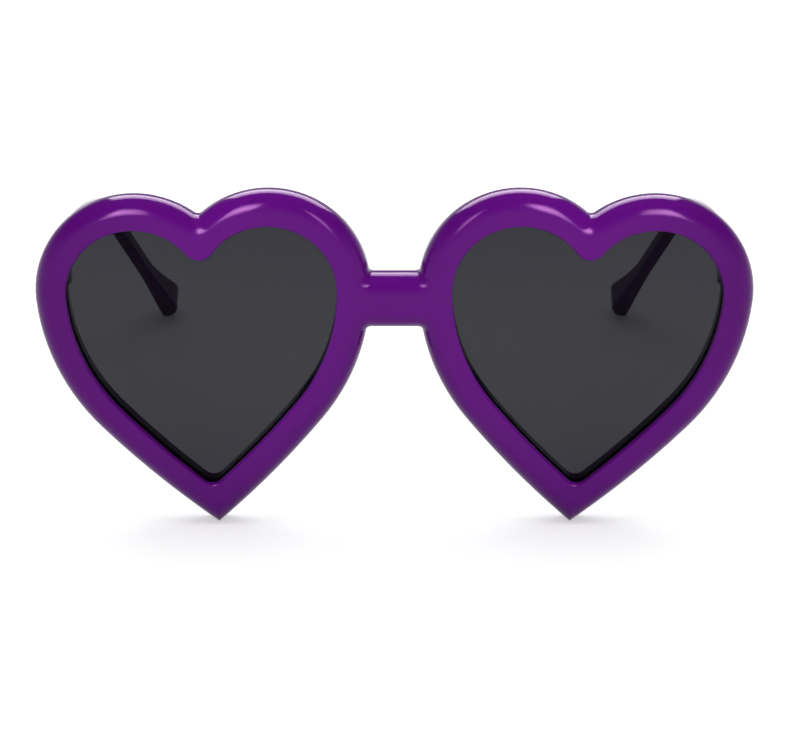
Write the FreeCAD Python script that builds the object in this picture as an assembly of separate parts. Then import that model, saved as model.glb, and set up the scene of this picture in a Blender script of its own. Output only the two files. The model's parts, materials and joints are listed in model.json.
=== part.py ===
# Heart shaped sunglasses: a moulded front with two tinted lenses, and two arms that fold on pin hinges.
# Millimetres. +X is right as seen from the front, +Y runs to the back, +Z is up.
# The pair stands on its two heart tips and two arm tips; the origin is the bottom centre of its box.
# Everything is drawn once for the side at +X, with the front face at y = 0, and mirrored for the other side.
import FreeCAD, Part
import math
import os

from FreeCAD import Vector

# Heart outline of a rim, in its own plane: u across from the heart's axis, v up from its point
LOBE_RADIUS = 21.1
LOBE_SPREAD = 13.9
LOBE_HEIGHT = 52.55
HAUNCH_RADIUS = 46.5
HAUNCH_TOP_DEG = -2.0
HAUNCH_END_DEG = -41.0
NOTCH_RADIUS = 1.2
HEART_TILT_DEG = 2.5
POINT_TRIM = 0.4

# Rim and lens opening
RIM_WIDTH = 6.9
RIM_DEPTH = 6.2
FRONT_EDGE_RADIUS = 4.0
BACK_EDGE_RADIUS = 0.9
OPENING_EDGE_RADIUS = 0.6
OPENING_NOTCH_RADIUS = 3.3
OPENING_POINT_RADIUS = 2.6
OPENING_SHIFT = 0.75
OPENING_TILT_DEG = 1.85

# Lens and its groove
LENS_THICKNESS = 2.0
LENS_SETBACK = 1.4
LENS_BITE = 0.8
LENS_CLEARANCE = 0.05

# Bridge
HEART_GAP = 9.9
BRIDGE_HEIGHT = 11.7
BRIDGE_RISE = 4.3
BRIDGE_BITE = 3.0
BRIDGE_CORNER_RADIUS = 1.0

# Nose pads
PAD_LENGTH = 17.0
PAD_WIDTH = 3.6
PAD_DEPTH = 5.2
PAD_INSET = 2.4
PAD_PLACE_DEG = -32.0
PAD_CROWN_RADIUS = 1.5

# Hinge: screw, knuckles and leaves, and the block on the back of the rim that carries the front leaf
SCREW_DIAMETER = 1.2
SCREW_CLEARANCE = 0.03
SCREW_HEAD_DIAMETER = 2.2
SCREW_HEAD_HEIGHT = 0.7
SCREW_SLOT_WIDTH = 0.4
SCREW_SLOT_DEPTH = 0.35
KNUCKLE_DIAMETER = 2.5
SIDE_KNUCKLE_HEIGHT = 1.5
MIDDLE_KNUCKLE_HEIGHT = 1.8
KNUCKLE_GAP = 0.1
LEAF_THICKNESS = 0.9
LEAF_LENGTH = 7.0
SWING_CLEARANCE = 0.15
LEAF_MARGIN = 0.7
HINGE_RISE = 0.8
BLOCK_INSET = 0.8
BUTT_GAP = 0.3

# Rivets that hold the leaves
RIVET_DIAMETER = 1.1
RIVET_DEPTH = 1.8
RIVET_CLEARANCE = 0.02
RIVET_HEAD_DIAMETER = 1.9
RIVET_HEAD_HEIGHT = 0.35
RIVET_PLACE_SHARES = (0.25, 0.75)

# Arm, from the hinge to the ear bend
ARM_THICKNESS = 2.9
ARM_REACH = 82.0
ARM_TOE_DEG = 1.25
ARM_CURVE_RADIUS = 300.0
ARM_FRONT_HEIGHT = 8.4
ARM_BEND_HEIGHT = 4.8
ARM_CORNER_RADIUS = 1.0
CORNER_LIMIT_SHARE = 0.45
ARM_STATION_SHARES = (0.0, 0.25, 0.5, 0.75, 1.0)

# Ear piece, from the bend to the ground
EAR_BEND_RADIUS = 14.0
EAR_SLOPE_DEG = 48.5
EAR_HEIGHT = 3.8
EAR_THICKNESS = 3.3
EAR_TURN_DEG = 19.5
PADDLE_LENGTH = 22.0
PADDLE_HEIGHT = 7.8
PADDLE_THICKNESS = 5.4
TIP_TRIM = 0.15
BEND_STATION_SHARES = (0.0, 0.5, 1.0)
EAR_STATION_SHARES = (0.3, 0.65)
# Along the paddle from where it starts: place, growth to full height, growth to full thickness, and the share
# of the thickness that the round of the tip takes off the inner side
PADDLE_SHARES = ((0.0, 0.0, 0.0, 0.0), (0.3, 0.24, 0.2, 0.0), (0.6, 0.6, 0.6, 0.0), (0.73, 0.8, 0.8, 0.0),
                 (0.9, 0.89, 1.0, 0.154), (1.0, 0.51, 1.0, 0.68))

# How far a cutting tool runs past what it cuts, and how far off a plane still counts as on it
OVERRUN = 2.0
TOLERANCE = 0.002

# Worked out from the sizes above
TILT = math.radians(HEART_TILT_DEG)
KNUCKLE_RADIUS = KNUCKLE_DIAMETER / 2
SEAT_OFFSET = KNUCKLE_RADIUS + SWING_CLEARANCE
HEART_X = HEART_GAP / 2 + LOBE_RADIUS + LOBE_SPREAD * math.cos(TILT) - LOBE_HEIGHT * math.sin(TILT)
OUTER_LOBE_X = HEART_X + LOBE_SPREAD * math.cos(TILT) + LOBE_HEIGHT * math.sin(TILT)
OUTER_LOBE_Z = LOBE_HEIGHT * math.cos(TILT) - LOBE_SPREAD * math.sin(TILT) - POINT_TRIM
BRIDGE_TOP = OUTER_LOBE_Z + BRIDGE_RISE
HINGE_Z = OUTER_LOBE_Z + HINGE_RISE
BLOCK_OUTER_X = OUTER_LOBE_X + LOBE_RADIUS - BLOCK_INSET
PIN_X = BLOCK_OUTER_X - ARM_THICKNESS - SEAT_OFFSET
LEAF_HEIGHT = 2 * SIDE_KNUCKLE_HEIGHT + MIDDLE_KNUCKLE_HEIGHT + 2 * KNUCKLE_GAP
LEAF_START = KNUCKLE_RADIUS + SWING_CLEARANCE
PIN_Y = RIM_DEPTH + LEAF_MARGIN + LEAF_LENGTH + LEAF_START
BLOCK_END = PIN_Y - BUTT_GAP / 2
ARM_MIDDLE = SEAT_OFFSET + ARM_THICKNESS / 2
ACROSS = Vector(1, 0, 0)
BACK = Vector(0, 1, 0)
UP = Vector(0, 0, 1)


def box(low, high):
    """Solid box between two corners."""
    size = high - low
    return Part.makeBox(size.x, size.y, size.z, low)


def on_circle(centre, radius, angle):
    """Point (u, v) on a circle."""
    return centre[0] + radius * math.cos(angle), centre[1] + radius * math.sin(angle)


def heart_arcs(grow, notch_radius, point_radius):
    """Arcs (centre, radius, start, end) of the heart's half at +u, from its point up to its notch.

    The outline lies grow outside the drawn heart. A point radius of zero leaves the point sharp.
    A negative flank radius is a hollow flank.
    """
    top = math.radians(HAUNCH_TOP_DEG)
    end = math.radians(HAUNCH_END_DEG)
    lobe = (LOBE_SPREAD, LOBE_HEIGHT)
    haunch = on_circle(lobe, LOBE_RADIUS - HAUNCH_RADIUS, top)
    along = haunch[0] * math.cos(end) + haunch[1] * math.sin(end)
    square = haunch[0] ** 2 + haunch[1] ** 2 + HAUNCH_RADIUS ** 2
    flank_radius = (square + 2 * HAUNCH_RADIUS * along) / (2 * (along + HAUNCH_RADIUS))
    flank = on_circle(haunch, HAUNCH_RADIUS - flank_radius, end)
    reach = flank_radius + grow - point_radius
    point = (0, flank[1] - math.copysign(math.sqrt(reach ** 2 - flank[0] ** 2), reach))
    flank_start = math.atan2((point[1] - flank[1]) / reach, -flank[0] / reach)
    notch_span = LOBE_RADIUS + grow + notch_radius
    notch = (0, LOBE_HEIGHT + math.sqrt(notch_span ** 2 - LOBE_SPREAD ** 2))
    lobe_end = math.atan2(notch[1] - LOBE_HEIGHT, -LOBE_SPREAD)
    arcs = [
        (flank, flank_radius + grow, flank_start, end),
        (haunch, HAUNCH_RADIUS + grow, end, top),
        (lobe, LOBE_RADIUS + grow, top, lobe_end),
        (notch, notch_radius, lobe_end - math.pi, -math.pi / 2),
    ]
    if point_radius:
        arcs.insert(0, (point, point_radius, -math.pi / 2, flank_start))
    return arcs


def heart_face(grow, notch_radius, point_radius, x, tilt_deg):
    """Flat heart in the plane y = 0, leaning outwards about its point."""
    tilt = math.radians(tilt_deg)

    def place(u, v):
        across = x + u * math.cos(tilt) + v * math.sin(tilt)
        return Vector(across, 0, v * math.cos(tilt) - u * math.sin(tilt) - POINT_TRIM)

    edges = []
    for side in (1, -1):
        for centre, radius, start, end in heart_arcs(grow, notch_radius, point_radius):
            points = [on_circle(centre, radius, angle) for angle in (start, (start + end) / 2, end)]
            edges.append(Part.Arc(*[place(side * u, v) for u, v in points]).toShape())
    return Part.Face(Part.Wire(Part.__sortEdges__(edges)))


def opening_face(grow):
    """Lens opening, grown outwards into the rim by grow."""
    return heart_face(grow - RIM_WIDTH, OPENING_NOTCH_RADIUS - grow, OPENING_POINT_RADIUS + grow,
                      HEART_X + OPENING_SHIFT, OPENING_TILT_DEG)


def slab(face, start, depth):
    """The face pushed back into a solid that starts at y = start."""
    return face.translated(BACK * start).extrude(BACK * depth)


def mirrored(shape):
    """The same piece on the other side."""
    return shape.mirror(Vector(), ACROSS)


def edges_along_back(shape, reach):
    """Straight edges that run front to back within reach of the middle plane."""
    found = []
    for edge in shape.Edges:
        start, end = [vertex.Point for vertex in (edge.Vertexes[0], edge.Vertexes[-1])]
        straight = isinstance(edge.Curve, Part.Line)
        if straight and abs((end - start).cross(BACK).Length) < edge.Length / 2 and abs(start.x) < reach:
            found.append(edge)
    return found


def flat_face_at(shape, y):
    """The largest flat face that lies wholly at depth y."""
    faces = []
    for face in shape.Faces:
        bounds = face.BoundBox
        if abs(bounds.YMin - y) < TOLERANCE and abs(bounds.YMax - y) < TOLERANCE:
            faces.append(face)
    return max(faces, key=lambda face: face.Area)


def outer_edges(face):
    """Edges round the outside of a face."""
    return face.OuterWire.Edges


def inner_edges(face):
    """Edges round the holes in a face."""
    loops = [wire for wire in face.Wires if not wire.isSame(face.OuterWire)]
    return [edge for wire in loops for edge in wire.Edges]


def hinge_block():
    """Block on the back of the rim, with the section of the arm that butts on it."""
    start = RIM_DEPTH / 2
    wire = section(PIN_X + ARM_MIDDLE, start, HINGE_Z, 0, ARM_THICKNESS, ARM_FRONT_HEIGHT)
    return slab(Part.Face(wire), 0, BLOCK_END - start)


def front_frame():
    """Rims, bridge and hinge blocks, moulded in one."""
    rim = slab(heart_face(0, NOTCH_RADIUS, 0, HEART_X, HEART_TILT_DEG), 0, RIM_DEPTH)
    reach = HEART_GAP / 2 + BRIDGE_BITE
    bridge = box(Vector(-reach, 0, BRIDGE_TOP - BRIDGE_HEIGHT), Vector(reach, RIM_DEPTH, BRIDGE_TOP))
    body = rim.fuse([mirrored(rim), bridge]).removeSplitter()
    body = body.makeFillet(BRIDGE_CORNER_RADIUS, edges_along_back(body, reach))
    opening = slab(opening_face(0), -OVERRUN, RIM_DEPTH + 2 * OVERRUN)
    body = body.cut([opening, mirrored(opening)])
    body = body.makeFillet(FRONT_EDGE_RADIUS, outer_edges(flat_face_at(body, 0)))
    body = body.makeFillet(OPENING_EDGE_RADIUS, inner_edges(flat_face_at(body, 0)))
    body = body.makeFillet(BACK_EDGE_RADIUS, outer_edges(flat_face_at(body, RIM_DEPTH)))
    groove = slab(opening_face(LENS_BITE + LENS_CLEARANCE), LENS_SETBACK - LENS_CLEARANCE,
                  LENS_THICKNESS + 2 * LENS_CLEARANCE)
    body = body.cut([groove, mirrored(groove)])
    body = body.fuse([hinge_block(), mirrored(hinge_block())])
    holes = front_rivets(RIVET_CLEARANCE)
    return above_ground(body.cut([holes, mirrored(holes)]))


def above_ground(shape):
    """The shape with what reaches below the ground trimmed flat."""
    bounds = shape.BoundBox
    low = Vector(bounds.XMin - OVERRUN, bounds.YMin - OVERRUN, bounds.ZMin - OVERRUN)
    high = Vector(bounds.XMax + OVERRUN, bounds.YMax + OVERRUN, 0)
    return shape.cut(box(low, high))


def lens():
    """Flat tinted lens that fills the opening and reaches into the groove."""
    return slab(opening_face(LENS_BITE), LENS_SETBACK, LENS_THICKNESS)


def nose_pad():
    """Pad bonded to the back of the rim beside the nose, leaning along the heart's haunch."""
    angle = math.radians(PAD_PLACE_DEG)
    centre, radius = heart_arcs(0, NOTCH_RADIUS, 0)[1][:2]
    u, v = on_circle(centre, radius - PAD_INSET, angle)
    x = HEART_X - u * math.cos(TILT) + v * math.sin(TILT)
    z = v * math.cos(TILT) + u * math.sin(TILT) - POINT_TRIM
    turn = math.degrees(angle + TILT)
    pad = stadium_prism(PAD_LENGTH, PAD_WIDTH, PAD_DEPTH)
    back_rim = [edge for edge in pad.Edges if edge.BoundBox.YMin > PAD_DEPTH / 2]
    pad = pad.makeFillet(PAD_CROWN_RADIUS, back_rim)
    pad.rotate(Vector(), BACK, turn)
    pad.translate(Vector(x, RIM_DEPTH, z))
    return pad


def stadium_prism(length, width, depth):
    """Upright slot shape, round at both ends, pushed back by depth."""
    half = (length - width) / 2
    radius = width / 2
    right_low, right_high = Vector(radius, 0, -half), Vector(radius, 0, half)
    left_low, left_high = Vector(-radius, 0, -half), Vector(-radius, 0, half)
    edges = [
        Part.LineSegment(right_low, right_high).toShape(),
        Part.Arc(right_high, Vector(0, 0, half + radius), left_high).toShape(),
        Part.LineSegment(left_high, left_low).toShape(),
        Part.Arc(left_low, Vector(0, 0, -half - radius), right_low).toShape(),
    ]
    return slab(Part.Face(Part.Wire(edges)), 0, depth)


def barrel(base, height, back):
    """One knuckle about the pin and the web that ties it to its leaf, which lies towards back (1 or -1)."""
    round_part = Part.makeCylinder(KNUCKLE_RADIUS, height, Vector(0, 0, base))
    inner = KNUCKLE_RADIUS - LEAF_THICKNESS
    reach = back * (LEAF_START + LEAF_THICKNESS)
    web = box(Vector(inner, min(0, reach), base), Vector(KNUCKLE_RADIUS, max(0, reach), base + height))
    return round_part.fuse(web)


def leaf(barrels, back):
    """Hinge leaf with its barrels, about the pin at the origin, with holes for the pin and the rivets."""
    start = back * LEAF_START
    end = back * (LEAF_START + LEAF_LENGTH)
    low = Vector(SEAT_OFFSET - LEAF_THICKNESS, min(start, end), -LEAF_HEIGHT / 2)
    high = Vector(SEAT_OFFSET, max(start, end), LEAF_HEIGHT / 2)
    shape = box(low, high).fuse([barrel(base, height, back) for base, height in barrels]).removeSplitter()
    bore = Part.makeCylinder(SCREW_DIAMETER / 2 + SCREW_CLEARANCE, LEAF_HEIGHT + 2 * OVERRUN,
                             Vector(0, 0, -LEAF_HEIGHT / 2 - OVERRUN))
    return shape.cut([bore, rivet_pair(back, RIVET_CLEARANCE)])


def rivet_pair(back, clearance):
    """The two rivets of a leaf, about the pin at the origin, grown by clearance where they are cutters."""
    solids = []
    for share in RIVET_PLACE_SHARES:
        y = back * (LEAF_START + share * LEAF_LENGTH)
        shank_start = SEAT_OFFSET - LEAF_THICKNESS
        shank = Part.makeCylinder(RIVET_DIAMETER / 2 + clearance, LEAF_THICKNESS + RIVET_DEPTH + clearance,
                                  Vector(shank_start, y, 0), ACROSS)
        if not clearance:
            head = Part.makeCylinder(RIVET_HEAD_DIAMETER / 2, RIVET_HEAD_HEIGHT,
                                     Vector(shank_start - RIVET_HEAD_HEIGHT, y, 0), ACROSS)
            shank = shank.fuse(head).removeSplitter()
        solids.append(shank)
    return Part.makeCompound(solids)


def at_pin(shape, toe_deg=0):
    """A hinge piece drawn about the origin, turned in by toe_deg and set on the pin's axis."""
    placed = shape.copy()
    placed.rotate(Vector(), UP, toe_deg)
    placed.translate(Vector(PIN_X, PIN_Y, HINGE_Z))
    return placed


def front_hinge():
    """Leaf on the hinge block, with the upper and lower knuckles."""
    top = MIDDLE_KNUCKLE_HEIGHT / 2 + KNUCKLE_GAP
    barrels = [(top, SIDE_KNUCKLE_HEIGHT), (-top - SIDE_KNUCKLE_HEIGHT, SIDE_KNUCKLE_HEIGHT)]
    return at_pin(leaf(barrels, -1))


def arm_hinge():
    """Leaf on the arm, with the middle knuckle."""
    return at_pin(leaf([(-MIDDLE_KNUCKLE_HEIGHT / 2, MIDDLE_KNUCKLE_HEIGHT)], 1), ARM_TOE_DEG)


def front_rivets(clearance=0):
    """Rivets of the front leaf, or the cutters of their holes."""
    return at_pin(rivet_pair(-1, clearance))


def arm_rivets(clearance=0):
    """Rivets of the arm's leaf, or the cutters of their holes."""
    return at_pin(rivet_pair(1, clearance), ARM_TOE_DEG)


def hinge_screw():
    """Slotted screw that is the hinge's pin."""
    foot = Vector(0, 0, -LEAF_HEIGHT / 2)
    shank = Part.makeCylinder(SCREW_DIAMETER / 2, LEAF_HEIGHT, foot)
    head = Part.makeCylinder(SCREW_HEAD_DIAMETER / 2, SCREW_HEAD_HEIGHT, Vector(0, 0, LEAF_HEIGHT / 2))
    head_top = LEAF_HEIGHT / 2 + SCREW_HEAD_HEIGHT
    slot = box(Vector(-SCREW_HEAD_DIAMETER, -SCREW_SLOT_WIDTH / 2, head_top - SCREW_SLOT_DEPTH),
               Vector(SCREW_HEAD_DIAMETER, SCREW_SLOT_WIDTH / 2, head_top + OVERRUN))
    return at_pin(shank.fuse(head).removeSplitter().cut(slot))


def section(x, y, z, slope, thickness, height):
    """Rounded rectangle across the arm, whose path runs down at slope there."""
    across = thickness / 2
    tall = height / 2
    radius = min(ARM_CORNER_RADIUS, CORNER_LIMIT_SHARE * thickness, CORNER_LIMIT_SHARE * height)
    rise = Vector(0, math.sin(slope), math.cos(slope))
    middle = Vector(x, y, z)

    def at(right, up):
        return middle + ACROSS * right + rise * up

    edges = []
    diagonal = radius * (1 - math.sqrt(0.5))
    corners = ((1, 1), (-1, 1), (-1, -1), (1, -1))
    for index, (right, up) in enumerate(corners):
        wide, high = right * across, up * tall
        side = at(wide, high - up * radius)
        cap = at(wide - right * radius, high)
        bend = at(wide - right * diagonal, high - up * diagonal)
        first, last = (side, cap) if right == up else (cap, side)
        edges.append(Part.Arc(first, bend, last).toShape())
        next_right, next_up = corners[(index + 1) % len(corners)]
        if next_right == right:
            start, end = last, at(next_right * across, next_up * (tall - radius))
        else:
            start, end = last, at(next_right * (across - radius), next_up * tall)
        edges.append(Part.LineSegment(start, end).toShape())
    return Part.Wire(edges)


def arm_path(share):
    """Place (y, z) and downward slope of the arm's middle line, from the hinge (0) to the ear bend (1)."""
    slope = share * math.asin(ARM_REACH / ARM_CURVE_RADIUS)
    return ARM_CURVE_RADIUS * math.sin(slope), ARM_CURVE_RADIUS * (math.cos(slope) - 1), slope


def ear_stations():
    """Stations (y, z, slope, thickness, height, lift, inset) round the bend and down to the arm's tip.

    Lift moves a section off the path as the paddle flares on one side, and inset is its way in to the head.
    """
    y, z, start = arm_path(1)
    end = math.radians(EAR_SLOPE_DEG)
    turn = math.tan(math.radians(EAR_TURN_DEG)) * math.cos(end)
    bend_length = EAR_BEND_RADIUS * (end - start)
    centre_y = y - EAR_BEND_RADIUS * math.sin(start)
    centre_z = z - EAR_BEND_RADIUS * math.cos(start)
    stations = []
    for share in BEND_STATION_SHARES:
        slope = start + share * (end - start)
        thickness = ARM_THICKNESS + share * (EAR_THICKNESS - ARM_THICKNESS)
        height = ARM_BEND_HEIGHT + share * (EAR_HEIGHT - ARM_BEND_HEIGHT)
        foot_y = centre_y + EAR_BEND_RADIUS * math.sin(slope)
        foot_z = centre_z + EAR_BEND_RADIUS * math.cos(slope)
        stations.append((foot_y, foot_z, slope, thickness, height, 0, turn * bend_length * share ** 2 / 2))
    tip_rise = EAR_HEIGHT / 2 * math.cos(end) - TIP_TRIM
    ear_length = (HINGE_Z + foot_z - tip_rise) / math.sin(end)
    shaft = ear_length - PADDLE_LENGTH
    rows = [(share * shaft, 0, 0, 0) for share in EAR_STATION_SHARES]
    rows += [(shaft + share * PADDLE_LENGTH, *growth) for share, *growth in PADDLE_SHARES]
    for run, tall, thick, taken in rows:
        height = EAR_HEIGHT + tall * (PADDLE_HEIGHT - EAR_HEIGHT)
        thickness = EAR_THICKNESS + thick * (PADDLE_THICKNESS - EAR_THICKNESS)
        lift = (height - EAR_HEIGHT) / 2
        inset = turn * (bend_length / 2 + run) - taken * thickness / 2
        stations.append((foot_y + run * math.cos(end), foot_z - run * math.sin(end), end,
                         (1 - taken) * thickness, height, lift, inset))
    return stations


def arm():
    """Arm with its ear piece, drawn about the pin and toed in, with its butt end and tip trimmed."""
    wires = []
    for share in ARM_STATION_SHARES:
        y, z, slope = arm_path(share)
        height = ARM_FRONT_HEIGHT + share * (ARM_BEND_HEIGHT - ARM_FRONT_HEIGHT)
        wires.append(section(ARM_MIDDLE, y, z, slope, ARM_THICKNESS, height))
    straight = Part.makeLoft(wires, True)
    wires = []
    for y, z, slope, thickness, height, lift, inset in ear_stations():
        lifted_y = y + lift * math.sin(slope)
        lifted_z = z + lift * math.cos(slope)
        wires.append(section(ARM_MIDDLE - inset, lifted_y, lifted_z, slope, thickness, height))
    ear = Part.makeLoft(wires, True)
    whole = at_pin(straight.fuse(ear), ARM_TOE_DEG)
    butt = PIN_Y + BUTT_GAP / 2
    trim = box(Vector(PIN_X - OVERRUN, PIN_Y - OVERRUN, HINGE_Z - ARM_FRONT_HEIGHT),
               Vector(PIN_X + OVERRUN + SEAT_OFFSET + ARM_THICKNESS, butt, HINGE_Z + ARM_FRONT_HEIGHT))
    return above_ground(whole.cut([trim, arm_rivets(RIVET_CLEARANCE)]))


def build():
    """Every piece by its node's name, with the pair's depth centred on the origin."""
    pieces = {"front_frame": front_frame()}
    one_side = {
        "lens": lens(),
        "nose_pad": nose_pad(),
        "front_hinge": front_hinge(),
        "front_rivets": front_rivets(),
        "hinge_screw": hinge_screw(),
        "arm_hinge": arm_hinge(),
        "arm_rivets": arm_rivets(),
        "arm": arm(),
    }
    for name, shape in one_side.items():
        pieces[name + "_right"] = shape
        pieces[name + "_left"] = mirrored(shape)
    back = pieces["arm_right"].optimalBoundingBox(False, False).YMax
    for shape in pieces.values():
        shape.translate(BACK * (-back / 2))
    print("pin at x %.3f y %.3f z %.3f, depth %.3f" % (PIN_X, PIN_Y - back / 2, HINGE_Z, back))
    return pieces


os.makedirs("parts", exist_ok=True)
for node, solid in build().items():
    solid.exportStep("parts/" + node + ".step")
    print(node, solid.isValid(), len(solid.Solids), round(solid.Volume, 2))
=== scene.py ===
import json
import math

import bmesh
import bpy
from bpy.props import FloatProperty, FloatVectorProperty, IntProperty, PointerProperty
from mathutils import Matrix, Vector

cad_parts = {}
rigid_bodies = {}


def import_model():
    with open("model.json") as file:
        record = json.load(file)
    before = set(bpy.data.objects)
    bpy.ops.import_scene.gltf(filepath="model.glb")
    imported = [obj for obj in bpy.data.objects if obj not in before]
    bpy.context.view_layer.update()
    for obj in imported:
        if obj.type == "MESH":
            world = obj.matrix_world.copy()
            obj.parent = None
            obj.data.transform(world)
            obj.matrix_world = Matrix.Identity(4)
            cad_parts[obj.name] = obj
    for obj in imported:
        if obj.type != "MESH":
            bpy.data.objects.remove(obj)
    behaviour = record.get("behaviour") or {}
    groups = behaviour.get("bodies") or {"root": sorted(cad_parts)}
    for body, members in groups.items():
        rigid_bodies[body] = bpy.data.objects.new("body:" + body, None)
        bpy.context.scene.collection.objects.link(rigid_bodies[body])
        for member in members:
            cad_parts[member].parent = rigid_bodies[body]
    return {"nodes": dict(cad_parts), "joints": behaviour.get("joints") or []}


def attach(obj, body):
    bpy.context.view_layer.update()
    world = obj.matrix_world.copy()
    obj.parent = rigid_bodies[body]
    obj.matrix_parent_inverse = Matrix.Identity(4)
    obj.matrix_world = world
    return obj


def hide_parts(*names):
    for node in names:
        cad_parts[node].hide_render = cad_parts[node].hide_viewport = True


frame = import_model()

bl_info = {
    "name": "Heart Sunglasses",
    "version": (1, 0, 0),
    "blender": (4, 5, 0),
    "location": "3D View > Sidebar > Sunglasses",
    "description": "Builds the looks of a pair of heart shaped sunglasses round its CAD frame",
    "category": "Object",
}

WHITE = (1.0, 1.0, 1.0, 1.0)

# Each side's name and the sign of its x, and the axis that the right arm turns on
SIDES = (("right", 1), ("left", -1))
RIGHT_PIN = next(joint["pos_m"] for joint in frame["joints"] if joint["name"] == "fold_right")

# Sockets of a Mix node that mixes colours
MIX_FIRST, MIX_SECOND, MIX_RESULT = 6, 7, 2

# Marks of the moulded plastic: noise detail and roughness, depth of the grain, stretch of the scuffs, where
# they start and are full, and how much rougher they are
CLOUD_DETAIL, CLOUD_ROUGHNESS = 3.0, 0.5
GRAIN_DETAIL, GRAIN_ROUGHNESS = 2.0, 0.4
GRAIN_DEPTH = 0.0002
SCUFF_DETAIL, SCUFF_ROUGHNESS = 6.0, 0.7
SCUFF_STRETCH = (1.0, 1.0, 7.0)
SCUFF_START, SCUFF_FULL = 0.58, 0.75
SCUFF_DULLING = 1.5

# Lens: its smudges, how far they swing the tint, and how steeply the tint deepens to the top and the point
SMUDGE_DETAIL, SMUDGE_ROUGHNESS = 4.0, 0.6
SMUDGE_SWING = 0.15
EDGE_POWER = 2.0

# Steel: stretch of the brushing, how much coarser the rubbed patches are, and the spread of the roughness
BRUSH_STRETCH = (1.0, 1.0, 0.04)
BRUSH_DETAIL = 2.0
RUB_DETAIL = 3.0
RUB_COARSENESS = 12
BRUSH_LOW, BRUSH_HIGH = 0.7, 1.3

# Steps along an arm: its long curve, its ear bend, its ear piece and the round of its tip
CURVE_STEPS = 32
BEND_STEPS = 16
EAR_STEPS = 40
TIP_STEPS = 8

# Largest corner radius as a share of half a section, and how an arm's normals are found
CORNER_LIMIT_SHARE = 0.9
SHARP_DEGREES = 60.0
NORMAL_WEIGHT = 80

# Nearest distance that the camera shows, in metres
CAMERA_CLIP = 0.01


def length(name, description, default):
    """A length property, in metres."""
    return FloatProperty(name=name, description=description, default=default, min=0.0, unit="LENGTH",
                         precision=5)


def angle(name, description, degrees):
    """An angle property, given in degrees and kept in radians."""
    return FloatProperty(name=name, description=description, default=math.radians(degrees), subtype="ANGLE")


def colour(name, description, default):
    """A linear colour property."""
    return FloatVectorProperty(name=name, description=description, default=default, size=3, min=0.0, max=1.0,
                               subtype="COLOR")


def point(name, description, default):
    """A point, in metres."""
    return FloatVectorProperty(name=name, description=description, default=default, size=3, unit="LENGTH",
                               subtype="XYZ", precision=5)


def extent(name, description, default):
    """A width and a height, in metres."""
    return FloatVectorProperty(name=name, description=description, default=default, size=2, min=0.0,
                               unit="LENGTH")


def number(name, description, default):
    """A plain number from 0 up."""
    return FloatProperty(name=name, description=description, default=default, min=0.0)


class PlasticLook(bpy.types.PropertyGroup):
    """Glossy moulded plastic of the front, the arms and the nose pads."""

    colour: colour("Colour", "Purple of the plastic", (0.083, 0.003, 0.149))
    deep_colour: colour("Deep colour", "Purple where the pigment is denser", (0.072, 0.002, 0.130))
    roughness: number("Roughness", "Roughness of the moulded surface", 0.13)
    pad_roughness: number("Pad roughness", "Roughness of the rubbed nose pads", 0.3)
    ior: FloatProperty(name="Reflection index", description="Index that sets how much the surface reflects",
                       default=1.33, min=1.0)
    sheen: colour("Sheen", "Tint of what the surface mirrors", (1.0, 0.4, 1.0))
    cloud_scale: number("Cloud scale", "Scale of the pigment's soft clouds, per metre", 45.0)
    grain_scale: number("Grain scale", "Scale of the mould's fine grain, per metre", 1400.0)
    grain_strength: number("Grain strength", "How far the grain turns the light", 0.012)


class LensLook(bpy.types.PropertyGroup):
    """Dark grey tinted lens."""

    tint: colour("Tint", "Share of light that gets through the lens", (0.041, 0.042, 0.048))
    edge_tint: colour("Edge tint", "Share of light that gets through near the top and the point",
                      (0.035, 0.035, 0.042))
    ior: FloatProperty(name="Reflection index", description="Index that sets how much the lens reflects",
                       default=1.1, min=1.0)
    roughness: number("Roughness", "Roughness of the polished lens", 0.03)
    smudge_scale: number("Smudge scale", "Scale of faint smudges on the lens, per metre", 60.0)
    low: length("Low", "Height of the lens's point above the floor", 0.010)
    high: length("High", "Height of the lens's top above the floor", 0.066)


class SteelLook(bpy.types.PropertyGroup):
    """Satin steel of the hinges, screws and rivets."""

    colour: colour("Colour", "Steel", (0.56, 0.56, 0.57))
    worn_colour: colour("Worn colour", "Steel where it is rubbed", (0.40, 0.40, 0.42))
    roughness: number("Roughness", "Roughness of the satin finish", 0.32)
    brush_scale: number("Brush scale", "Scale of the brushing across its lines, per metre", 6000.0)


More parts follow.
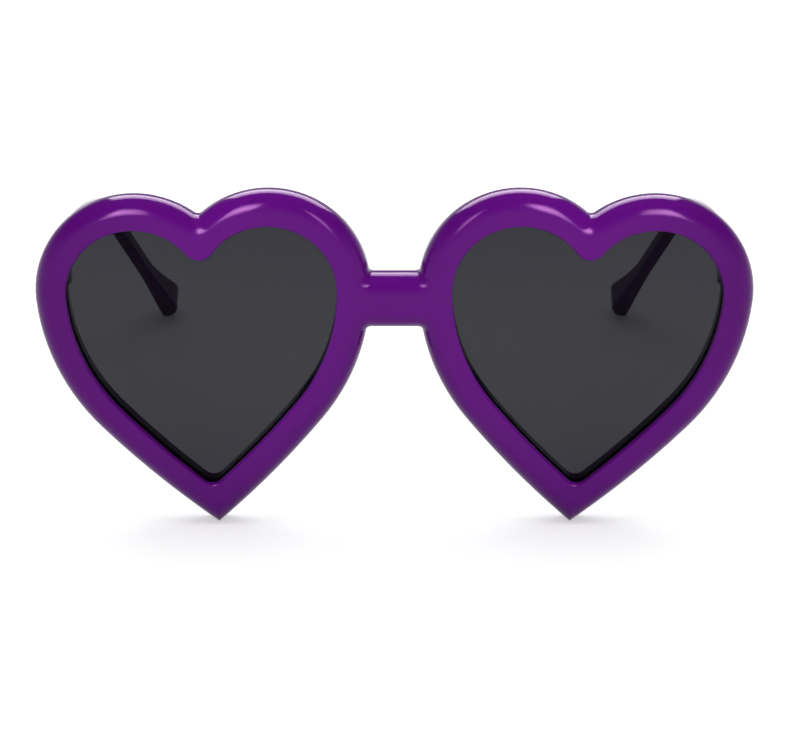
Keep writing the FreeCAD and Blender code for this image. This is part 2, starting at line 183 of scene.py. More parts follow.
class ArmShape(bpy.types.PropertyGroup):
    """Sizes of an arm, along its path from the hinge to its tip."""

    pin: point("Pin", "Axis of the right hinge", RIGHT_PIN)
    middle: length("Middle", "Arm's middle plane, outwards from the pin", 0.00285)
    start: length("Start", "Where the arm starts behind the pin", 0.00015)
    thickness: length("Thickness", "Arm's thickness", 0.0029)
    front_height: length("Front height", "Arm's height at the hinge", 0.0084)
    bend_height: length("Bend height", "Arm's height at the ear bend", 0.0048)
    ear_height: length("Ear height", "Ear piece's height after the bend", 0.0038)
    ear_thickness: length("Ear thickness", "Ear piece's thickness", 0.0033)
    paddle_height: length("Paddle height", "Height of the flared tip", 0.0078)
    paddle_thickness: length("Paddle thickness", "Thickness of the flared tip", 0.0054)
    paddle_length: length("Paddle length", "Length of the flare", 0.022)
    flare_full: number("Flare full", "Share of the flare's length at which it is full", 0.86)
    flare_power: number("Flare power", "How late the flare grows", 1.35)
    tip_round: length("Tip round", "Length over which the tip closes", 0.0060)
    tip_slim: number("Tip slim", "Share of the thickness that the tip's round takes off the inner side", 0.68)
    tip_low: number("Tip low", "Share of the height that the tip's round takes off the top", 0.25)
    tip_trim: length("Tip trim", "How far the tip is flattened on the floor", 0.00015)
    reach: length("Reach", "From the hinge to the ear bend", 0.082)
    curve_radius: length("Curve radius", "Radius of the arm's long curve", 0.300)
    bend_radius: length("Bend radius", "Radius of the ear bend", 0.014)
    corner_radius: length("Corner radius", "Radius of the section's corners", 0.001)
    edge_break: length("Edge break", "Rounding of the butt end's edge", 0.00018)
    toe: angle("Toe", "Turn of the arm in to the head", 1.25)
    ear_slope: angle("Ear slope", "Slope of the ear piece", 48.5)
    ear_turn: angle("Ear turn", "Turn of the ear piece in to the head", 19.5)
    sides: IntProperty(name="Sides", description="Points round the section", default=40, min=8)


class RivetShape(bpy.types.PropertyGroup):
    """Sizes of the rivets that hold the hinge leaves."""

    seat: length("Seat", "Leaf's seat, outwards from the pin", 0.0014)
    leaf_thickness: length("Leaf thickness", "Thickness of a leaf", 0.0009)
    leaf_start: length("Leaf start", "Where a leaf starts, from the pin", 0.0014)
    leaf_length: length("Leaf length", "Length of a leaf", 0.007)
    first_share: number("First share", "Place of the first rivet along the leaf", 0.25)
    last_share: number("Last share", "Place of the last rivet along the leaf", 0.75)
    head_radius: length("Head radius", "Radius of a rivet's head", 0.00095)
    head_height: length("Head height", "Height of a rivet's dome", 0.00035)
    shank_radius: length("Shank radius", "Radius of a rivet's shank", 0.00055)
    shank_depth: length("Shank depth", "Depth of the shank in the plastic", 0.0018)
    count: IntProperty(name="Count", description="Rivets in a leaf", default=2, min=1)
    sides: IntProperty(name="Sides", description="Points round a rivet", default=32, min=8)


class StageLook(bpy.types.PropertyGroup):
    """Camera, floor and lights of the product photo."""

    camera_back: FloatProperty(name="Camera back", description="Camera's place along the depth axis",
                               default=-0.589208, unit="LENGTH")
    camera_height: length("Camera height", "Camera's height above the floor", 0.2328)
    camera_pitch: angle("Camera pitch", "How far the camera looks down", 20.92)
    camera_lens: FloatProperty(name="Camera lens", description="Focal length in millimetres", default=119.50,
                               min=1.0)
    camera_shift: FloatProperty(name="Camera shift", description="Sideways shift of the picture",
                                default=0.006875)
    floor_size: length("Floor size", "Side of the floor", 8.0)
    floor_colour: colour("Floor colour", "Pale floor", (0.93, 0.93, 0.93))
    floor_lift: number("Floor lift", "Glow that keeps the floor white in the picture", 0.50)
    fill: number("Fill", "Strength of the studio's even light", 0.30)
    gloss_fill: number("Gloss fill", "Studio's brightness overhead as a glossy piece mirrors it", 0.06)
    gloss_horizon: number("Gloss horizon", "Studio's brightness at the horizon as a glossy piece mirrors it",
                          1.0)
    horizon_rise: number("Horizon rise", "How high the bright horizon reaches, as the sine of its angle", 0.45)
    strip_power: number("Strip power", "Watts of the strip light before each heart", 0.028)
    strip_size: extent("Strip size", "Width and height of a strip light", (0.05, 0.13))
    strip_place: point("Strip place", "Where the right heart's strip light stands", (0.072, -0.189, 0.130))
    strip_aim: point("Strip aim", "Point of the right heart that its strip light faces",
                     (0.037, -0.066, 0.066))
    strip_spread: angle("Strip spread", "Angle within which a strip light shines", 44.0)
    back_power: number("Back power", "Watts of the softbox behind", 0.75)
    back_size: extent("Back size", "Width and height of the softbox behind", (0.24, 0.13))
    back_place: point("Back place", "Where the softbox behind stands", (0.0, 0.081, 0.20))
    top_power: number("Top power", "Watts of the softbox above", 42.0)
    top_size: extent("Top size", "Width and height of the softbox above", (3.0, 2.6))
    top_place: point("Top place", "Where the softbox above hangs", (0.0, 0.45, 2.4))
    aim: point("Aim", "Point that the softboxes face", (0.0, -0.05, 0.04))


class SunglassesSettings(bpy.types.PropertyGroup):
    """All settings of the pair."""

    plastic: PointerProperty(type=PlasticLook)
    lens: PointerProperty(type=LensLook)
    steel: PointerProperty(type=SteelLook)
    arm: PointerProperty(type=ArmShape)
    rivet: PointerProperty(type=RivetShape)
    stage: PointerProperty(type=StageLook)


def add(tree, kind, links=None, **values):
    """New node in a tree: values set its attributes, links its inputs, by a socket or a constant."""
    node = tree.nodes.new(kind)
    for name, value in values.items():
        setattr(node, name, value)
    for name, value in (links or {}).items():
        socket = node.inputs[name]
        if isinstance(value, bpy.types.NodeSocket):
            tree.links.new(value, socket)
        else:
            socket.default_value = value
    return node


def math_node(tree, operation, first, second=0.0):
    """Result of one sum on two values."""
    return add(tree, "ShaderNodeMath", {0: first, 1: second}, operation=operation).outputs[0]


def vector_node(tree, operation, first, second):
    """Result of one sum on two vectors."""
    return add(tree, "ShaderNodeVectorMath", {0: first, 1: second}, operation=operation).outputs[0]


def scaled_vector(tree, vector, scale):
    """Vector times a value."""
    return add(tree, "ShaderNodeVectorMath", {0: vector, "Scale": scale}, operation="SCALE").outputs[0]


def new_group(name, kind, inputs, outputs):
    """Empty node group with its sockets, its input node and its output node."""
    tree = bpy.data.node_groups.new(name, kind)
    for direction, sockets in (("INPUT", inputs), ("OUTPUT", outputs)):
        for socket_name, socket_type in sockets:
            tree.interface.new_socket(socket_name, in_out=direction, socket_type=socket_type)
    return tree, tree.nodes.new("NodeGroupInput"), tree.nodes.new("NodeGroupOutput")


def moulded_group():
    """Node group with the marks that moulding leaves: soft pigment clouds, fine grain and faint scuffs."""
    name = "Moulded surface"
    if name in bpy.data.node_groups:
        return bpy.data.node_groups[name]
    value = "NodeSocketFloat"
    tree, given, result = new_group(
        name, "ShaderNodeTree",
        [("Vector", "NodeSocketVector"), ("Cloud scale", value), ("Grain scale", value)],
        [("Cloud", value), ("Grain", value), ("Scuff", value)])
    vector = given.outputs["Vector"]
    cloud = add(tree, "ShaderNodeTexNoise",
                {"Vector": vector, "Scale": given.outputs["Cloud scale"], "Detail": CLOUD_DETAIL,
                 "Roughness": CLOUD_ROUGHNESS})
    grain = add(tree, "ShaderNodeTexNoise",
                {"Vector": vector, "Scale": given.outputs["Grain scale"], "Detail": GRAIN_DETAIL,
                 "Roughness": GRAIN_ROUGHNESS})
    stretched = vector_node(tree, "MULTIPLY", vector, SCUFF_STRETCH)
    scuff = add(tree, "ShaderNodeTexNoise",
                {"Vector": stretched, "Scale": given.outputs["Cloud scale"], "Detail": SCUFF_DETAIL,
                 "Roughness": SCUFF_ROUGHNESS})
    mask = add(tree, "ShaderNodeMapRange",
               {"Value": scuff.outputs[0], "From Min": SCUFF_START, "From Max": SCUFF_FULL})
    tree.links.new(cloud.outputs[0], result.inputs["Cloud"])
    tree.links.new(grain.outputs[0], result.inputs["Grain"])
    tree.links.new(mask.outputs[0], result.inputs["Scuff"])
    return tree


def new_material(name):
    """Empty material: its tree, its output node and its object coordinates."""
    material = bpy.data.materials.new(name)
    material.use_nodes = True
    tree = material.node_tree
    tree.nodes.clear()
    output = tree.nodes.new("ShaderNodeOutputMaterial")
    return material, tree, output, add(tree, "ShaderNodeTexCoord").outputs["Object"]


def colour_mix(tree, factor, first, second):
    """Colour between two, by a factor."""
    mix = add(tree, "ShaderNodeMix", {"Factor": factor}, data_type="RGBA")
    mix.inputs[MIX_FIRST].default_value = (*first, 1.0)
    mix.inputs[MIX_SECOND].default_value = (*second, 1.0)
    return mix.outputs[MIX_RESULT]


def plastic_material(name, look, roughness):
    """Glossy purple moulded plastic."""
    if name in bpy.data.materials:
        return bpy.data.materials[name]
    material, tree, output, place = new_material(name)
    marks = add(tree, "ShaderNodeGroup", node_tree=moulded_group())
    tree.links.new(place, marks.inputs["Vector"])
    marks.inputs["Cloud scale"].default_value = look.cloud_scale
    marks.inputs["Grain scale"].default_value = look.grain_scale
    base = colour_mix(tree, marks.outputs["Cloud"], look.colour, look.deep_colour)
    dull = add(tree, "ShaderNodeMapRange",
               {"Value": marks.outputs["Scuff"], "To Min": roughness, "To Max": roughness * SCUFF_DULLING})
    bump = add(tree, "ShaderNodeBump",
               {"Strength": look.grain_strength, "Distance": GRAIN_DEPTH, "Height": marks.outputs["Grain"]})
    shader = add(tree, "ShaderNodeBsdfPrincipled",
                 {"Base Color": base, "Roughness": dull.outputs[0], "IOR": look.ior,
                  "Specular Tint": (*look.sheen, 1.0), "Normal": bump.outputs[0]})
    tree.links.new(shader.outputs[0], output.inputs["Surface"])
    return material


def lens_material(name, look):
    """Dark tinted lens that lets a little light straight through, half at each of its faces."""
    if name in bpy.data.materials:
        return bpy.data.materials[name]
    material, tree, output, place = new_material(name)
    height = add(tree, "ShaderNodeSeparateXYZ", {0: place}).outputs["Z"]
    along = add(tree, "ShaderNodeMapRange", {"Value": height, "From Min": look.low, "From Max": look.high,
                                             "To Min": -1.0, "To Max": 1.0})
    far = math_node(tree, "ABSOLUTE", along.outputs[0])
    smudge = add(tree, "ShaderNodeTexNoise",
                 {"Vector": place, "Scale": look.smudge_scale, "Detail": SMUDGE_DETAIL,
                  "Roughness": SMUDGE_ROUGHNESS})
    soft = add(tree, "ShaderNodeMapRange",
               {"Value": smudge.outputs[0], "To Min": -SMUDGE_SWING, "To Max": SMUDGE_SWING})
    edge = math_node(tree, "ADD", math_node(tree, "POWER", far, EDGE_POWER), soft.outputs[0])
    tint = colour_mix(tree, edge, map(math.sqrt, look.tint), map(math.sqrt, look.edge_tint))
    through = add(tree, "ShaderNodeBsdfTransparent", {"Color": tint})
    shine = add(tree, "ShaderNodeBsdfGlossy", {"Roughness": look.roughness})
    fresnel = add(tree, "ShaderNodeFresnel", {"IOR": look.ior}).outputs[0]
    inside = add(tree, "ShaderNodeNewGeometry").outputs["Backfacing"]
    outer_only = math_node(tree, "MULTIPLY", fresnel, math_node(tree, "SUBTRACT", 1.0, inside))
    mixed = add(tree, "ShaderNodeMixShader", {0: outer_only, 1: through.outputs[0], 2: shine.outputs[0]})
    tree.links.new(mixed.outputs[0], output.inputs["Surface"])
    return material


def steel_material(name, look):
    """Satin steel, brushed along its height and rubbed in patches."""
    if name in bpy.data.materials:
        return bpy.data.materials[name]
    material, tree, output, place = new_material(name)
    stretched = vector_node(tree, "MULTIPLY", place, BRUSH_STRETCH)
    brush = add(tree, "ShaderNodeTexNoise",
                {"Vector": stretched, "Scale": look.brush_scale, "Detail": BRUSH_DETAIL})
    rub = add(tree, "ShaderNodeTexNoise",
              {"Vector": place, "Scale": look.brush_scale / RUB_COARSENESS, "Detail": RUB_DETAIL})
    base = colour_mix(tree, rub.outputs[0], look.colour, look.worn_colour)
    rough = add(tree, "ShaderNodeMapRange", {"Value": brush.outputs[0], "To Min": look.roughness * BRUSH_LOW,
                                             "To Max": look.roughness * BRUSH_HIGH})
    shader = add(tree, "ShaderNodeBsdfPrincipled",
                 {"Base Color": base, "Metallic": 1.0, "Roughness": rough.outputs[0]})
    tree.links.new(shader.outputs[0], output.inputs["Surface"])
    return material


def dress(node, material):
    """Gives a CAD node its material."""
    obj = frame["nodes"][node]
    obj.data.materials.clear()
    obj.data.materials.append(material)


def new_piece(name, mesh, body, nodes):
    """Object made of a mesh, riding on a body in place of CAD nodes."""
    piece = bpy.data.objects.new(name, mesh)
    bpy.context.scene.collection.objects.link(piece)
    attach(piece, body)
    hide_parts(*nodes)
    return piece


def baked(mesh, steps):
    """Plain mesh of what modifiers make of a mesh; steps sets them up on the object that it is given."""
    holder = bpy.data.objects.new("holder", mesh)
    bpy.context.scene.collection.objects.link(holder)
    steps(holder)
    evaluated = holder.evaluated_get(bpy.context.evaluated_depsgraph_get())
    result = bpy.data.meshes.new_from_object(evaluated)
    bpy.data.objects.remove(holder)
    return result


def weighted_normals(holder):
    """Normals that follow the large faces, so flats stay flat beside their rounded edges."""
    modifier = holder.modifiers.new("Normals", "WEIGHTED_NORMAL")
    modifier.keep_sharp = True
    modifier.weight = NORMAL_WEIGHT


def curve_stations(shape):
    """Stations of the arm's long curve, from the hinge to the ear bend."""
    end = math.asin(shape.reach / shape.curve_radius)
    stations = []
    for step in range(CURVE_STEPS + 1):
        part = step / CURVE_STEPS
        slope = end * part
        depth = shape.curve_radius * math.sin(slope) if step else shape.start
        drop = shape.curve_radius * (math.cos(slope) - 1)
        tall = shape.front_height + part * (shape.bend_height - shape.front_height)
        stations.append((depth, drop, slope, 0.0, shape.thickness, tall, 0.0))
    return stations


def inset_rate(shape):
    """How far the ear piece moves in to the head for each unit of its length."""
    return math.tan(shape.ear_turn) * math.cos(shape.ear_slope)


def bend_stations(shape, depth, drop, start):
    """Stations round the ear bend, which starts at a depth, a height and a slope."""
    radius = shape.bend_radius
    bend = shape.ear_slope - start
    centre_depth = depth - radius * math.sin(start)
    centre_drop = drop - radius * math.cos(start)
    inset = inset_rate(shape) * radius * bend / 2
    stations = []
    for step in range(1, BEND_STEPS + 1):
        part = step / BEND_STEPS
        slope = start + part * bend
        thick = shape.thickness + part * (shape.ear_thickness - shape.thickness)
        tall = shape.bend_height + part * (shape.ear_height - shape.bend_height)
        stations.append((centre_depth + radius * math.sin(slope), centre_drop + radius * math.cos(slope), slope,
                         inset * part ** 2, thick, tall, 0.0))
    return stations


def ear_stations(shape, depth, drop, inset):
    """Stations of the ear piece, from the bend to its tip on the floor."""
    slope = shape.ear_slope
    rate = inset_rate(shape)
    tip_rise = shape.ear_height / 2 * math.cos(slope) - shape.tip_trim
    whole = (shape.pin[2] + drop - tip_rise) / math.sin(slope)
    round_start = whole - shape.tip_round
    runs = [whole * step / EAR_STEPS for step in range(1, EAR_STEPS)]
    runs = [run for run in runs if run < round_start]
    runs += [whole - shape.tip_round * (1 - math.sin(math.pi / 2 * step / TIP_STEPS))
             for step in range(TIP_STEPS + 1)]
    stations = []
    for run in runs:
        along = max(0.0, run - whole + shape.paddle_length) / shape.paddle_length
        flare = min(1.0, (along / shape.flare_full) ** shape.flare_power)
        closing = max(0.0, run - round_start) / shape.tip_round
        # What the round takes off grows from 0 to 1, as along a quarter circle
        taken = 1 - math.sqrt(max(0.0, 1 - closing ** 2))
        thick = shape.ear_thickness + flare * (shape.paddle_thickness - shape.ear_thickness)
        slim = shape.tip_slim * taken * thick
        tall = shape.ear_height + flare * (shape.paddle_height - shape.ear_height)
        tall *= 1 - shape.tip_low * taken
        stations.append((depth + run * math.cos(slope), drop - run * math.sin(slope), slope,
                         inset + rate * run - slim / 2, thick - slim, tall, (tall - shape.ear_height) / 2))
    return stations


def arm_path(shape):
    """Stations (depth, height, slope, inset, thickness, tallness, lift) of an arm about its pin.

    Inset is the way in to the head. Lift moves a section off the path where the tip flares on one side.
    """
    stations = curve_stations(shape)
    stations += bend_stations(shape, *stations[-1][:3])
    depth, drop, _, inset = stations[-1][:4]
    return stations + ear_stations(shape, depth, drop, inset)


def path_mesh(shape, side):
    """Line along an arm's middle, with each station's section kept as attributes of its points."""
    turn = Matrix.Rotation(shape.toe, 3, "Z")
    flip = Matrix.Diagonal((side, 1.0, 1.0))
    pin = Vector(shape.pin)
    centres, rises, halves = [], [], []
    for depth, height, slope, inset, thick, tall, lift in arm_path(shape):
        rise = Vector((0.0, math.sin(slope), math.cos(slope)))
        centre = Vector((shape.middle - inset, depth, height)) + rise * lift
        centres.append(flip @ (pin + turn @ centre))
        rises.append(flip @ (turn @ rise))
        halves.append(Vector((thick / 2, tall / 2, 0.0)))
    halves[0] = halves[0] - Vector((shape.edge_break, shape.edge_break, 0.0))
    mesh = bpy.data.meshes.new("arm path")
    mesh.from_pydata(centres, [(index, index + 1) for index in range(len(centres) - 1)], [])
    across = [flip @ (turn @ Vector((1.0, 0.0, 0.0)))] * len(centres)
    for name, vectors in (("centre", centres), ("rise", rises), ("half", halves), ("across", across)):
        attribute = mesh.attributes.new(name, "FLOAT_VECTOR", "POINT")
        attribute.data.foreach_set("vector", [part for vector in vectors for part in vector])
    return mesh


def named_vector(tree, name):
    """Vector attribute that the geometry carries."""
    return add(tree, "GeometryNodeInputNamedAttribute", {"Name": name}, data_type="FLOAT_VECTOR").outputs[0]


def section_place(tree, corner):
    """Place of each point of a rounded rectangle that is swept along a path with the sections it carries.

    A point that would be under the floor is set on it.
    """
    around = add(tree, "ShaderNodeSeparateXYZ", {0: named_vector(tree, "around")})
    half = add(tree, "ShaderNodeSeparateXYZ", {0: named_vector(tree, "half")})
    smaller = math_node(tree, "MINIMUM", half.outputs[0], half.outputs[1])
    limit = math_node(tree, "MULTIPLY", smaller, CORNER_LIMIT_SHARE)
    radius = math_node(tree, "MINIMUM", corner, limit)
    place = named_vector(tree, "centre")
    for index, direction in enumerate(("across", "rise")):
        flat = math_node(tree, "SUBTRACT", half.outputs[index], radius)
        core = math_node(tree, "MULTIPLY", math_node(tree, "SIGN", around.outputs[index]), flat)
        offset = math_node(tree, "ADD", core, math_node(tree, "MULTIPLY", around.outputs[index], radius))
        place = vector_node(tree, "ADD", place, scaled_vector(tree, named_vector(tree, direction), offset))
    parts = add(tree, "ShaderNodeSeparateXYZ", {0: place})
    above = math_node(tree, "MAXIMUM", parts.outputs["Z"], 0.0)
    return add(tree, "ShaderNodeCombineXYZ", {0: parts.outputs[0], 1: parts.outputs[1], 2: above}).outputs[0]


def finish_tree(tree, geometry, material, result):
    """Ends a geometry tree: smooth, real geometry with its material."""
    smooth = add(tree, "GeometryNodeSetShadeSmooth", {"Geometry": geometry})
    real = add(tree, "GeometryNodeRealizeInstances", {"Geometry": smooth.outputs[0]})
    final = add(tree, "GeometryNodeSetMaterial", {"Geometry": real.outputs[0], "Material": material})
    tree.links.new(final.outputs[0], result.inputs["Geometry"])


def sweep_tree():
    """Geometry tree that sweeps a rounded rectangle of changing size along an arm's path."""
    name = "Arm sweep"
    if name in bpy.data.node_groups:
        return bpy.data.node_groups[name]
    tree, given, result = new_group(
        name, "GeometryNodeTree",
        [("Geometry", "NodeSocketGeometry"), ("Corner radius", "NodeSocketFloat"), ("Sides", "NodeSocketInt"),
         ("Material", "NodeSocketMaterial")],
        [("Geometry", "NodeSocketGeometry")])
    path = add(tree, "GeometryNodeMeshToCurve", {"Mesh": given.outputs["Geometry"]})
    ring = add(tree, "GeometryNodeCurvePrimitiveCircle",
               {"Resolution": given.outputs["Sides"], "Radius": 1.0})
    # Half a step of turn keeps every point off the section's axes, so each belongs to one corner
    half_step = math_node(tree, "DIVIDE", math.pi, given.outputs["Sides"])
    turned = add(tree, "GeometryNodeTransform", {"Geometry": ring.outputs[0]})
    tree.links.new(add(tree, "ShaderNodeCombineXYZ", {2: half_step}).outputs[0], turned.inputs["Rotation"])
    place = add(tree, "GeometryNodeInputPosition")
    marked = add(tree, "GeometryNodeStoreNamedAttribute",
                 {"Geometry": turned.outputs[0], "Name": "around", "Value": place.outputs[0]},
                 data_type="FLOAT_VECTOR", domain="POINT")
    swept = add(tree, "GeometryNodeCurveToMesh",
                {"Curve": path.outputs[0], "Profile Curve": marked.outputs[0], "Fill Caps": True})
    position = section_place(tree, given.outputs["Corner radius"])
    shaped = add(tree, "GeometryNodeSetPosition", {"Geometry": swept.outputs[0], "Position": position})
    finish_tree(tree, shaped.outputs[0], given.outputs["Material"], result)
    return tree


def rivet_tree():
    """Geometry tree that sets a row of domed rivets along a leaf."""
    name = "Rivet row"
    if name in bpy.data.node_groups:
        return bpy.data.node_groups[name]
    value = "NodeSocketFloat"
    vector = "NodeSocketVector"
    tree, given, result = new_group(
        name, "GeometryNodeTree",
        [("Geometry", "NodeSocketGeometry"), ("Count", "NodeSocketInt"), ("First", vector), ("Step", vector),
         ("Turn", vector), ("Head radius", value), ("Head height", value), ("Shank radius", value),
         ("Shank length", value), ("Sides", "NodeSocketInt"), ("Material", "NodeSocketMaterial")],
        [("Geometry", "NodeSocketGeometry")])
    dome = add(tree, "GeometryNodeMeshUVSphere",
               {"Segments": given.outputs["Sides"], "Rings": given.outputs["Sides"], "Radius": 1.0})
    size = add(tree, "ShaderNodeCombineXYZ",
               {0: given.outputs["Head radius"], 1: given.outputs["Head radius"],
                2: given.outputs["Head height"]})
    head = add(tree, "GeometryNodeTransform", {"Geometry": dome.outputs[0], "Scale": size.outputs[0]})
    bar = add(tree, "GeometryNodeMeshCylinder",
              {"Vertices": given.outputs["Sides"], "Radius": given.outputs["Shank radius"],
               "Depth": given.outputs["Shank length"]})
    back = math_node(tree, "MULTIPLY", given.outputs["Shank length"], -0.5)
    shank = add(tree, "GeometryNodeTransform", {"Geometry": bar.outputs[0]})
    tree.links.new(add(tree, "ShaderNodeCombineXYZ", {2: back}).outputs[0], shank.inputs["Translation"])
    rivet = add(tree, "GeometryNodeJoinGeometry")
    tree.links.new(head.outputs[0], rivet.inputs[0])
    tree.links.new(shank.outputs[0], rivet.inputs[0])
    row = add(tree, "GeometryNodeMeshLine",
              {"Count": given.outputs["Count"], "Start Location": given.outputs["First"],
               "Offset": given.outputs["Step"]})
    placed = add(tree, "GeometryNodeInstanceOnPoints",
                 {"Points": row.outputs[0], "Instance": rivet.outputs[0], "Rotation": given.outputs["Turn"]})
    finish_tree(tree, placed.outputs[0], given.outputs["Material"], result)
    return tree


def grown(mesh, tree, values):
    """Plain mesh of a geometry tree run on a mesh, with the tree's named inputs set."""
    def steps(holder):
        modifier = holder.modifiers.new(tree.name, "NODES")
        modifier.node_group = tree
        for item in tree.interface.items_tree:
            if item.in_out == "INPUT" and item.name in values:
                modifier[item.identifier] = values[item.name]

    return baked(mesh, steps)


class SUNGLASSES_OT_front(bpy.types.Operator):
    """Build the moulded front with its nose pads"""

    bl_idname = "sunglasses.front"
    bl_label = "Front"

    def execute(self, context):
        look = context.scene.sunglasses.plastic
        dress("front_frame", plastic_material("purple plastic", look, look.roughness))
        rubbed = plastic_material("rubbed plastic", look, look.pad_roughness)
        for side, _ in SIDES:
            dress("nose_pad_" + side, rubbed)
        return {"FINISHED"}


class SUNGLASSES_OT_lenses(bpy.types.Operator):
    """Build the tinted lenses"""

    bl_idname = "sunglasses.lenses"
    bl_label = "Lenses"

    def execute(self, context):
        material = lens_material("tinted lens", context.scene.sunglasses.lens)
        for side, _ in SIDES:
            dress("lens_" + side, material)
        return {"FINISHED"}


class SUNGLASSES_OT_hinges(bpy.types.Operator):
    """Finish the steel hinges and set their rivets"""

    bl_idname = "sunglasses.hinges"
    bl_label = "Hinges"

    def execute(self, context):
        settings = context.scene.sunglasses
        steel = steel_material("hinge steel", settings.steel)
        for side, sign in SIDES:
            for name in ("front_hinge_", "hinge_screw_", "arm_hinge_"):
                dress(name + side, steel)
            self.rivets(settings, steel, side, sign, -1)
            self.rivets(settings, steel, side, sign, 1)
        return {"FINISHED"}

    def rivets(self, settings, steel, side, sign, way):
        """The row of rivets of one leaf, in front of the pin (way -1) or behind it (1)."""
        shape = settings.rivet
        turn = Matrix.Rotation(settings.arm.toe if way > 0 else 0.0, 3, "Z")
        flip = Matrix.Diagonal((sign, 1.0, 1.0))
        face = shape.seat - shape.leaf_thickness
        places = []
        for part in (shape.first_share, shape.last_share):
            depth = way * (shape.leaf_start + part * shape.leaf_length)
            places.append(flip @ (Vector(settings.arm.pin) + turn @ Vector((face, depth, 0.0))))
        outward = -math.pi / 2 * sign
        values = {
            "Count": shape.count, "First": places[0],
            "Step": (places[1] - places[0]) / max(1, shape.count - 1), "Turn": (0.0, outward, 0.0),
            "Head radius": shape.head_radius, "Head height": shape.head_height,
            "Shank radius": shape.shank_radius, "Shank length": shape.leaf_thickness + shape.shank_depth,
            "Sides": shape.sides, "Material": steel,
        }
        holder, body = ("front", "front") if way < 0 else ("arm", "arm_" + side)
        node = holder + "_rivets_" + side
        mesh = grown(bpy.data.meshes.new(node), rivet_tree(), values)
        new_piece("rivet_row_" + holder + "_" + side, mesh, body, [node])


class SUNGLASSES_OT_arms(bpy.types.Operator):
    """Sweep the arms along their paths"""

    bl_idname = "sunglasses.arms"
    bl_label = "Arms"

    def execute(self, context):
        settings = context.scene.sunglasses
        plastic = plastic_material("purple plastic", settings.plastic, settings.plastic.roughness)
        shape = settings.arm
        values = {"Corner radius": shape.corner_radius, "Sides": shape.sides, "Material": plastic}
        for side, sign in SIDES:
            swept = grown(path_mesh(shape, sign), sweep_tree(), values)
            work = bmesh.new()
            work.from_mesh(swept)
            bmesh.ops.recalc_face_normals(work, faces=work.faces)
            work.to_mesh(swept)
            work.free()
            swept.set_sharp_from_angle(angle=math.radians(SHARP_DEGREES))
            mesh = baked(swept, weighted_normals)
            new_piece("temple_" + side, mesh, "arm_" + side, ["arm_" + side])
        return {"FINISHED"}


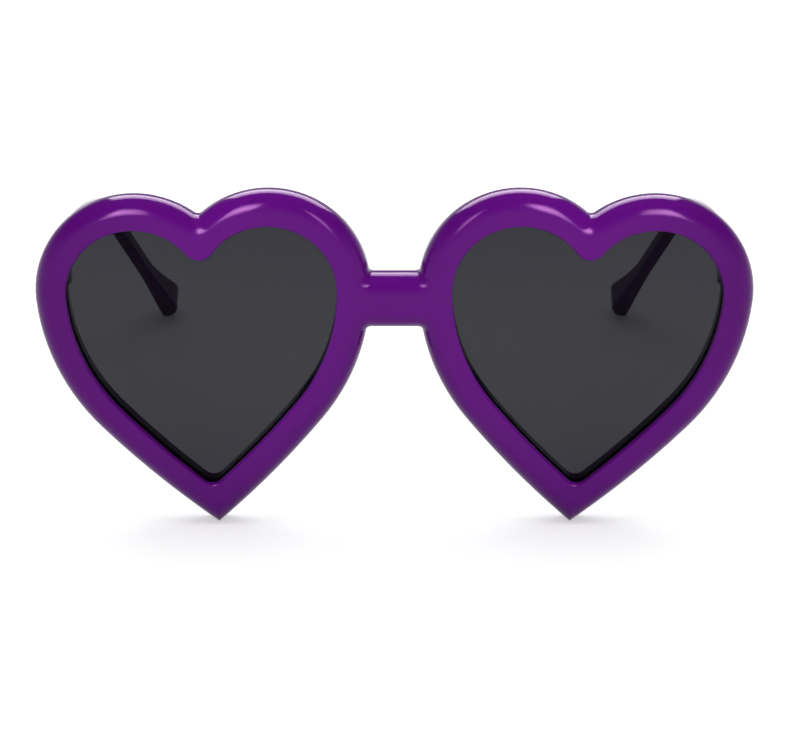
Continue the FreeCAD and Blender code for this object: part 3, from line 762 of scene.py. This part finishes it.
class SUNGLASSES_OT_stage(bpy.types.Operator):
    """Set up the camera, the floor and the studio light"""

    bl_idname = "sunglasses.stage"
    bl_label = "Stage"

    def execute(self, context):
        look = context.scene.sunglasses.stage
        pair = bpy.data.collections.new("pair")
        for obj in context.scene.objects:
            if obj.type == "MESH":
                pair.objects.link(obj)
        self.camera(context, look)
        self.floor(context, look)
        self.world(context, look)
        for side, sign in SIDES:
            mirror = Vector((sign, 1.0, 1.0))
            strip = self.softbox(context, "strip " + side, look.strip_power, look.strip_size,
                                 Vector(look.strip_place) * mirror, Vector(look.strip_aim) * mirror)
            strip.data.spread = look.strip_spread
            strip.light_linking.receiver_collection = pair
        aim = Vector(look.aim)
        rim = self.softbox(context, "softbox behind", look.back_power, look.back_size,
                           Vector(look.back_place), aim)
        rim.visible_diffuse = False
        rim.light_linking.receiver_collection = pair
        above = self.softbox(context, "softbox above", look.top_power, look.top_size,
                             Vector(look.top_place), aim)
        above.visible_glossy = False
        return {"FINISHED"}

    def camera(self, context, look):
        """Camera at the photo's angle."""
        data = bpy.data.cameras.new("camera")
        data.lens = look.camera_lens
        data.shift_x = look.camera_shift
        data.clip_start = CAMERA_CLIP
        camera = bpy.data.objects.new("camera", data)
        camera.location = (0.0, look.camera_back, look.camera_height)
        camera.rotation_euler = (math.pi / 2 - look.camera_pitch, 0.0, 0.0)
        context.scene.collection.objects.link(camera)
        context.scene.camera = camera

    def floor(self, context, look):
        """Pale floor that keeps the shadow."""
        half = look.floor_size / 2
        mesh = bpy.data.meshes.new("floor")
        mesh.from_pydata([(-half, -half, 0.0), (half, -half, 0.0), (half, half, 0.0), (-half, half, 0.0)], [],
                         [(0, 1, 2, 3)])
        floor = bpy.data.objects.new("floor", mesh)
        context.scene.collection.objects.link(floor)
        material, tree, output, _ = new_material("floor")
        path = add(tree, "ShaderNodeLightPath").outputs
        mirrored = math_node(tree, "MAXIMUM", path["Is Glossy Ray"], path["Is Transmission Ray"])
        seen = math_node(tree, "MAXIMUM", path["Is Camera Ray"], mirrored)
        matte = add(tree, "ShaderNodeBsdfDiffuse", {"Color": (*look.floor_colour, 1.0)})
        lift = math_node(tree, "MULTIPLY", seen, look.floor_lift)
        glow = add(tree, "ShaderNodeEmission", {"Strength": lift})
        both = add(tree, "ShaderNodeAddShader", {0: matte.outputs[0], 1: glow.outputs[0]})
        tree.links.new(both.outputs[0], output.inputs["Surface"])
        mesh.materials.append(material)

    def world(self, context, look):
        """Even studio light: white to the camera, and dimmer overhead in mirrored rays."""
        world = bpy.data.worlds.new("studio")
        world.use_nodes = True
        tree = world.node_tree
        tree.nodes.clear()
        path = add(tree, "ShaderNodeLightPath")
        seen = math_node(tree, "MAXIMUM", path.outputs["Is Camera Ray"], path.outputs["Is Transmission Ray"])
        direction = add(tree, "ShaderNodeTexCoord").outputs["Generated"]
        height = add(tree, "ShaderNodeSeparateXYZ", {0: direction}).outputs["Z"]
        mirrored = add(tree, "ShaderNodeMapRange",
                       {"Value": height, "From Min": 0.0, "From Max": look.horizon_rise,
                        "To Min": look.gloss_horizon, "To Max": look.gloss_fill})
        lit = add(tree, "ShaderNodeMix", {"Factor": path.outputs["Is Glossy Ray"], "A": look.fill,
                                          "B": mirrored.outputs[0]})
        strength = add(tree, "ShaderNodeMix", {"Factor": seen, "A": lit.outputs[0], "B": 1.0})
        light = add(tree, "ShaderNodeBackground", {"Color": WHITE, "Strength": strength.outputs[0]})
        output = tree.nodes.new("ShaderNodeOutputWorld")
        tree.links.new(light.outputs[0], output.inputs["Surface"])
        context.scene.world = world

    def softbox(self, context, name, power, size, place, aim):
        """Rectangular light at a place, facing a point."""
        data = bpy.data.lights.new(name, "AREA")
        data.shape = "RECTANGLE"
        data.size, data.size_y = size
        data.energy = power
        light = bpy.data.objects.new(name, data)
        light.location = place
        light.rotation_euler = (aim - place).to_track_quat("-Z", "Y").to_euler()
        light.visible_camera = False
        context.scene.collection.objects.link(light)
        return light


class SUNGLASSES_PT_panel(bpy.types.Panel):
    """Settings and steps of the sunglasses"""

    bl_label = "Heart Sunglasses"
    bl_idname = "SUNGLASSES_PT_panel"
    bl_space_type = "VIEW_3D"
    bl_region_type = "UI"
    bl_category = "Sunglasses"

    def draw(self, context):
        settings = context.scene.sunglasses
        for step in STEPS:
            self.layout.operator(step.bl_idname)
        for name in ("plastic", "lens", "steel", "arm", "rivet", "stage"):
            group = getattr(settings, name)
            box = self.layout.box()
            box.label(text=name.capitalize())
            for field in group.__annotations__:
                box.prop(group, field)


GROUPS = (PlasticLook, LensLook, SteelLook, ArmShape, RivetShape, StageLook, SunglassesSettings)
STEPS = (SUNGLASSES_OT_front, SUNGLASSES_OT_lenses, SUNGLASSES_OT_hinges, SUNGLASSES_OT_arms,
         SUNGLASSES_OT_stage)


def register():
    for item in (*GROUPS, *STEPS, SUNGLASSES_PT_panel):
        bpy.utils.register_class(item)
    bpy.types.Scene.sunglasses = PointerProperty(type=SunglassesSettings)


def unregister():
    del bpy.types.Scene.sunglasses
    for item in reversed((*GROUPS, *STEPS, SUNGLASSES_PT_panel)):
        bpy.utils.unregister_class(item)


def main():
    """Builds the pair."""
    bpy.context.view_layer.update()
    register()
    for step in ("front", "lenses", "hinges", "arms", "stage"):
        getattr(bpy.ops.sunglasses, step)()
    bpy.context.scene.view_settings.view_transform = "Standard"


if __name__ == "__main__":
    main()
